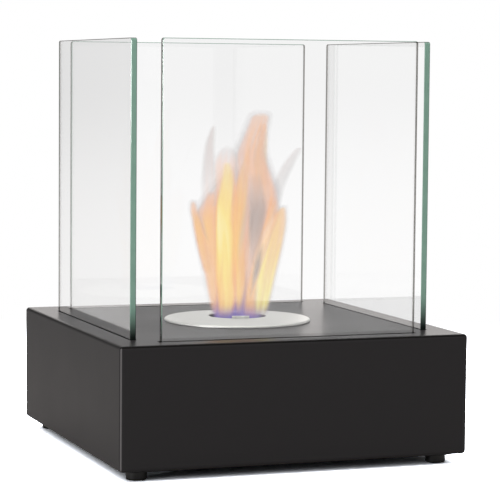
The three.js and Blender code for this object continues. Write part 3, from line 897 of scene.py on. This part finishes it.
holes = add(punched, "GeometryNodeRealizeInstances", {"Geometry": holes.outputs[0]})
disc = add(punched, "GeometryNodeMeshCylinder", {
    "Vertices": SCREEN_STEPS,
    "Radius": given.outputs["Radius"],
    "Depth": thickness,
})
lift = add(punched, "ShaderNodeCombineXYZ", {2: centre})
disc = add(punched, "GeometryNodeTransform", {
    "Geometry": disc.outputs["Mesh"],
    "Translation": lift.outputs[0],
})
screen = add(punched, "GeometryNodeMeshBoolean", {"Mesh 1": disc.outputs[0], "Mesh 2": holes.outputs[0]},
             operation="DIFFERENCE", solver="EXACT")
real = add(punched, "GeometryNodeRealizeInstances", {"Geometry": screen.outputs["Mesh"]})
painted = add(punched, "GeometryNodeSetMaterial", {
    "Geometry": real.outputs[0],
    "Material": given.outputs["Material"],
})
punched.links.new(painted.outputs[0], result.inputs["Geometry"])

screen_low, screen_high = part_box("wool_screen")
screen = grown("punched_disc", punched, {
    "Radius": screen_high.x,
    "Thickness": screen_high.z - screen_low.z,
    "Height": (screen_high.z + screen_low.z) / 2,
    "Pitch": SCREEN_PITCH,
    "Hole Radius": SCREEN_HOLE,
    "Rim": SCREEN_RIM,
    "Material": tarnished,
})
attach(screen, "burner")
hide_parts("wool_screen")

# --- Flame -----------------------------------------------------------------------------------------
# Bioethanol burns with a tall soft flame: a few thin tongues that rise from the mouth, violet at the
# root, yellow and orange above, and a grey haze at the tips. Each tongue here is one curved thin sheet.
# It stands at its own depth and is turned its own way, so that the flame is full from every side.

FLAME_YAW = 0.3515
FLAME_ROWS = 84
FLAME_COLUMNS = 16
FLAME_BOW = 0.4
FLAME_SOFT_EDGE = 4.4 * MM
FLAME_TIP_FADE = 0.10
FLAME_ROOT_FADE = 0.06
RIM_COOLING = 0.35
MARGIN_BODY = 0.45
MARGIN_HEAT = 0.02
MARGIN_BEHIND = 1.5
STREAK_WIDTH = 7 * MM
STREAK_LENGTH = 75 * MM
STREAKS_APART = 5.9

# Each tongue: its depth towards the front and its turn in degrees, its heat and its body at root,
# middle and tip, the width of its grey margin, and its outline as heights above the mouth, offsets and
# half widths. Lengths are in millimetres.
TONGUES = [
    (-12, 0, (-1.0, -1.0, -1.0), (0.9, 0.75, 0.0), 0, [
        (-6, 0.0, 18.0), (0, 0.0, 20.0), (6, 0.0, 20.5), (12, 0.0, 21.0), (18, 0.0, 20.0),
    ]),
    (-13, 0, (0.50, 0.44, 0.20), (0.45, 0.62, 0.30), 3, [
        (-2, -5.0, 13.5), (20, -8.0, 17.0), (46, -9.5, 20.0), (72, -12.5, 22.0), (90, -12.0, 22.0),
        (104, -9.0, 17.0), (118, -4.0, 11.0), (128, -2.0, 5.0),
    ]),
    (-11, -50, (0.36, 0.20, 0.14), (0.0, 0.55, 0.55), 0, [
        (59, -23.9, 7.4), (87, -25.0, 7.4), (104, -25.1, 6.5), (121, -25.7, 5.6), (139, -25.6, 4.1),
        (151, -24.6, 3.0), (159, -23.0, 1.7), (165, -21.7, 0.4),
    ]),
    (-8, 50, (0.12, 0.14, 0.16), (0.3, 0.42, 0.38), 0, [
        (84, 30.0, 6.1), (101, 32.5, 4.3), (113, 35.5, 4.6), (122, 39.0, 4.7), (131, 43.4, 4.3),
        (139, 48.2, 3.2), (144, 51.5, 2.2), (146, 53.1, 0.7),
    ]),
    (-6, 60, (0.50, 0.55, 0.40), (0.3, 0.7, 0.65), 2, [
        (35, -26.3, 3.0), (52, -29.9, 3.9), (69, -33.1, 4.3), (80, -35.6, 3.4), (87, -37.7, 2.8),
        (93, -38.5, 2.3), (99, -38.8, 0.7),
    ]),
    (-5, 35, (0.62, 0.42, 0.44), (0.5, 0.76, 0.5), 3, [
        (-2, 5.7, 8.7), (17, 5.9, 9.1), (35, 4.5, 9.5), (52, 3.9, 10.8), (70, 7.2, 13.4), (87, 11.8, 17.3),
        (104, 15.0, 18.8), (122, 13.1, 15.4), (139, 10.6, 12.2), (153, 13.0, 9.5), (165, 16.6, 8.0),
        (172, 18.7, 6.8), (176, 20.1, 1.3),
    ]),
    (-3, 30, (0.50, 0.62, 0.56), (0.0, 0.65, 0.55), 0, [
        (92, 23.0, 3.0), (106, 22.5, 5.0), (122, 20.0, 5.5), (140, 19.0, 5.0), (156, 20.5, 3.8),
        (168, 21.0, 2.0),
    ]),
    (-2, 20, (0.66, 0.68, 0.56), (0.5, 0.65, 0.35), 0, [
        (-2, 3.5, 3.5), (30, 2.0, 4.5), (60, 0.5, 5.0), (90, 1.5, 5.5), (115, 3.5, 4.5),
        (135, 7.5, 3.0), (150, 12.0, 1.5),
    ]),
    (-1, 45, (0.56, 0.60, 0.36), (0.5, 0.75, 0.40), 0, [
        (-2, -17.8, 3.5), (17, -19.7, 5.2), (35, -21.5, 6.9), (52, -23.8, 9.1), (69, -25.7, 10.8),
        (80, -26.5, 11.5), (87, -25.8, 10.8), (94, -24.6, 7.8), (102, -23.3, 4.8), (108, -23.4, 2.2),
    ]),
    (3, -40, (0.58, 0.60, 0.10), (0.6, 0.66, 0.30), 0, [
        (-2, -10.9, 7.8), (17, -10.1, 8.7), (35, -9.4, 9.5), (52, -7.8, 11.3), (69, -7.9, 11.3),
        (87, -8.1, 11.2), (104, -8.7, 9.9), (121, -10.9, 8.6), (134, -10.6, 9.1), (142, -9.8, 6.5),
        (148, -9.4, 1.7),
    ]),
    (5, 10, (0.30, 0.30, 0.20), (0.3, 0.7, 0.4), 0, [
        (44, -18.0, 1.0), (62, -18.5, 2.5), (80, -19.0, 3.0), (98, -18.0, 2.5), (112, -17.0, 1.0),
    ]),
    (2, -45, (0.94, 0.76, 0.60), (0.8, 0.85, 0.65), 2, [
        (-2, 19.6, 4.3), (18, 22.2, 6.2), (35, 25.0, 7.2), (52, 29.3, 6.8), (66, 32.8, 6.1), (79, 35.4, 5.3),
        (87, 36.3, 4.6), (92, 37.8, 2.7), (95, 38.7, 0.7),
    ]),
    (7, 15, (0.40, 0.26, 0.22), (0.0, 0.6, 0.2), 0, [
        (28, 3.5, 0.5), (48, 3.0, 2.5), (68, 5.0, 3.5), (88, 7.0, 3.0), (108, 9.0, 1.0),
    ]),
    (6, 30, (0.60, 0.55, 0.45), (0.5, 0.7, 0.4), 0, [
        (-2, 10.0, 6.1), (17, 11.1, 4.8), (35, 14.4, 3.9), (52, 17.8, 4.8), (70, 22.8, 5.6), (87, 27.4, 6.9),
        (98, 29.0, 5.2), (105, 29.4, 3.0),
    ]),
    (9, -25, (0.74, 0.88, 0.76), (0.6, 0.85, 0.4), 0, [
        (-2, -10.9, 5.2), (17, -9.7, 6.5), (35, -11.1, 6.9), (52, -11.0, 7.5), (69, -11.1, 7.5),
        (83, -12.1, 6.7), (97, -11.6, 6.1), (111, -10.0, 5.2), (121, -9.2, 4.3), (130, -9.7, 3.0),
        (134, -10.0, 1.0),
    ]),
    (11, 0, (-1.0, -0.85, -0.6), (0.8, 0.6, 0.2), 0, [
        (-3, -16.3, 1.2), (8, -16.8, 1.0), (18, -17.3, 0.3), (28, -17.5, 0.0),
    ]),
    (10, 0, (-1.0, -0.8, -0.6), (0.8, 0.6, 0.2), 0, [
        (-3, 4.0, 2.4), (10, 5.0, 2.0), (24, 6.8, 1.0), (42, 7.8, 0.0),
    ]),
    (12, 40, (0.12, 0.02, 0.12), (0.2, 0.8, 0.1), 0, [
        (42, 15.5, 3.0), (60, 15.0, 4.5), (78, 15.5, 6.0), (94, 17.0, 7.0), (110, 15.5, 6.0),
        (126, 14.0, 3.5),
    ]),
    (13, 20, (0.0, 0.0, 0.0), (0.2, 0.85, 0.1), 0, [
        (16, 11.0, 0.0), (28, 13.5, 0.8), (40, 16.3, 2.2), (54, 19.3, 1.8), (66, 23.2, 0.3),
    ]),
]


def stretch(values, place):
    """The value at a place from 0 to 1 along a row of values, on a smooth curve through them."""
    spot = place * (len(values) - 1)
    i = min(int(spot), len(values) - 2)
    t = spot - i
    a, b, c, d = (values[min(max(k, 0), len(values) - 1)] for k in (i - 1, i, i + 1, i + 2))
    bend, twist = 2 * a - 5 * b + 4 * c - d, 3 * b - a - 3 * c + d
    return 0.5 * (2 * b + (c - a) * t + bend * t * t + twist * t ** 3)


def smooth(edge, value):
    """Rises from 0 to 1 as the value goes from 0 to the edge."""
    t = min(max(value / edge, 0), 1)
    return t * t * (3 - 2 * t)


across = Vector((math.cos(FLAME_YAW), -math.sin(FLAME_YAW), 0))
toward = Vector((-math.sin(FLAME_YAW), -math.cos(FLAME_YAW), 0))
points, faces, heats, bodies, flows = [], [], [], [], []
for number, (depth, turn, heat, body, margin, outline) in enumerate(TONGUES):
    heights, offsets, widths = zip(*outline)
    for wider in (margin * MM, 0) if margin else (0,):
        first = len(points)
        for row in range(FLAME_ROWS + 1):
            v = row / FLAME_ROWS
            rise, offset, width = (stretch(values, v) * MM for values in (heights, offsets, widths))
            width = max(width, 0) + FLAME_SOFT_EDGE / 2 + wider
            rise += wider * v
            fade = smooth(FLAME_TIP_FADE, 1 - v) * smooth(FLAME_ROOT_FADE, v)
            for column in range(FLAME_COLUMNS + 1):
                s = 2 * column / FLAME_COLUMNS - 1
                forth = depth * MM - MARGIN_BEHIND * wider + s * width * math.tan(math.radians(turn))
                forth += FLAME_BOW * width * (1 - s * s)
                up = Vector((0, 0, ring_high.z + rise))
                points.append(across * (offset + s * width) + toward * forth + up)
                heats.append(MARGIN_HEAT if wider else stretch(heat, v) - RIM_COOLING * abs(s) ** 5)
                soft = fade * smooth(FLAME_SOFT_EDGE, width * (1 - abs(s)))
                bodies.append(soft * stretch(body, v) * (MARGIN_BODY if wider else 1))
                flows += (s * width / STREAK_WIDTH, STREAKS_APART * number, rise / STREAK_LENGTH)
        for row in range(FLAME_ROWS):
            for column in range(FLAME_COLUMNS):
                a = first + row * (FLAME_COLUMNS + 1) + column
                b = a + FLAME_COLUMNS + 1
                faces.append((a, a + 1, b + 1, b))
sheets = bpy.data.meshes.new("flame")
sheets.from_pydata(points, [], faces)
for title, values in (("warmth", heats), ("body", bodies)):
    sheets.attributes.new(title, "FLOAT", "POINT").data.foreach_set("value", values)
sheets.attributes.new("flow", "FLOAT_VECTOR", "POINT").data.foreach_set("vector", flows)
sheets.shade_smooth()
flame = link_object("flame", sheets)

# Burning ethanol vapour: it glows, and what is behind shows through it. Its warmth picks the colour,
# from grey haze through orange to pale yellow, and it is violet near the mouth and where it burns cold.
VIOLET = "#7b6fb6"
VIOLET_HEIGHT = 12 * MM
WARMTH_SWING = 0.10
HAZE, HOTTEST = "#a39d9d", "#fff8c8"
BETWEEN = ((0.18, "#cdbfbc"), (0.34, "#ecbca4"), (0.52, "#f9bb88"), (0.72, "#fdd284"), (0.9, "#ffee96"))

glow, tree = surface("ethanol_flame")
place = add(tree, "ShaderNodeTexCoord").outputs["Object"]
heat = add(tree, "ShaderNodeAttribute", attribute_name="warmth")
body = add(tree, "ShaderNodeAttribute", attribute_name="body")
flow = add(tree, "ShaderNodeAttribute", attribute_name="flow")
streaks = add(tree, "ShaderNodeTexNoise", {
    "Vector": flow.outputs["Vector"],
    "Scale": 1.0,
    "Detail": 1.5,
    "Distortion": 0.4,
})
swing = add(tree, "ShaderNodeMapRange", {
    "Value": streaks.outputs["Fac"],
    "From Min": 0.3,
    "From Max": 0.7,
    "To Min": -WARMTH_SWING,
    "To Max": WARMTH_SWING,
})
warm = add(tree, "ShaderNodeMath", {0: heat.outputs["Fac"], 1: swing.outputs[0]}, operation="ADD")
colours = add(tree, "ShaderNodeValToRGB", {0: warm.outputs[0]})
ramp = colours.color_ramp
ramp.elements[0].color = linear(HAZE)
ramp.elements[1].color = linear(HOTTEST)
for stop, code in BETWEEN:
    ramp.elements.new(stop).color = linear(code)
height = add(tree, "ShaderNodeSeparateXYZ", {0: place})
root = add(tree, "ShaderNodeMapRange", {
    "Value": height.outputs["Z"],
    "From Min": ring_high.z + VIOLET_HEIGHT,
    "From Max": ring_high.z,
}, interpolation_type="SMOOTHSTEP")
cold = add(tree, "ShaderNodeMapRange", {
    "Value": heat.outputs["Fac"],
    "From Min": 0.0,
    "From Max": -1.0,
    "To Min": 0.55,
    "To Max": 1.0,
})
blue = add(tree, "ShaderNodeMath", {0: root.outputs[0], 1: cold.outputs[0]}, operation="MULTIPLY")
violet = add(tree, "ShaderNodeMapRange", {"Value": heat.outputs["Fac"], "From Min": -0.4, "From Max": -1.0})
blue = add(tree, "ShaderNodeMath", {0: blue.outputs[0], 1: violet.outputs[0]}, operation="MAXIMUM")
colour = add(tree, "ShaderNodeMix", {0: blue.outputs[0], 6: colours.outputs[0], 7: linear(VIOLET)},
             data_type="RGBA")
thick = add(tree, "ShaderNodeMapRange", {
    "Value": streaks.outputs["Fac"],
    "From Min": 0.25,
    "From Max": 0.65,
    "To Min": 0.75,
    "To Max": 1.0,
})
alpha = add(tree, "ShaderNodeMath", {0: body.outputs["Fac"], 1: thick.outputs[0]}, operation="MULTIPLY")
nothing = add(tree, "ShaderNodeBsdfTransparent")
fire = add(tree, "ShaderNodeEmission", {"Color": colour.outputs[2], "Strength": 1.0})
mixed = add(tree, "ShaderNodeMixShader", {0: alpha.outputs[0], 1: nothing.outputs[0], 2: fire.outputs[0]})
add(tree, "ShaderNodeOutputMaterial", {"Surface": mixed.outputs[0]})
coat_with(flame, glow)
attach(flame, "burner")
flame.visible_glossy = flame.visible_diffuse = flame.visible_shadow = False
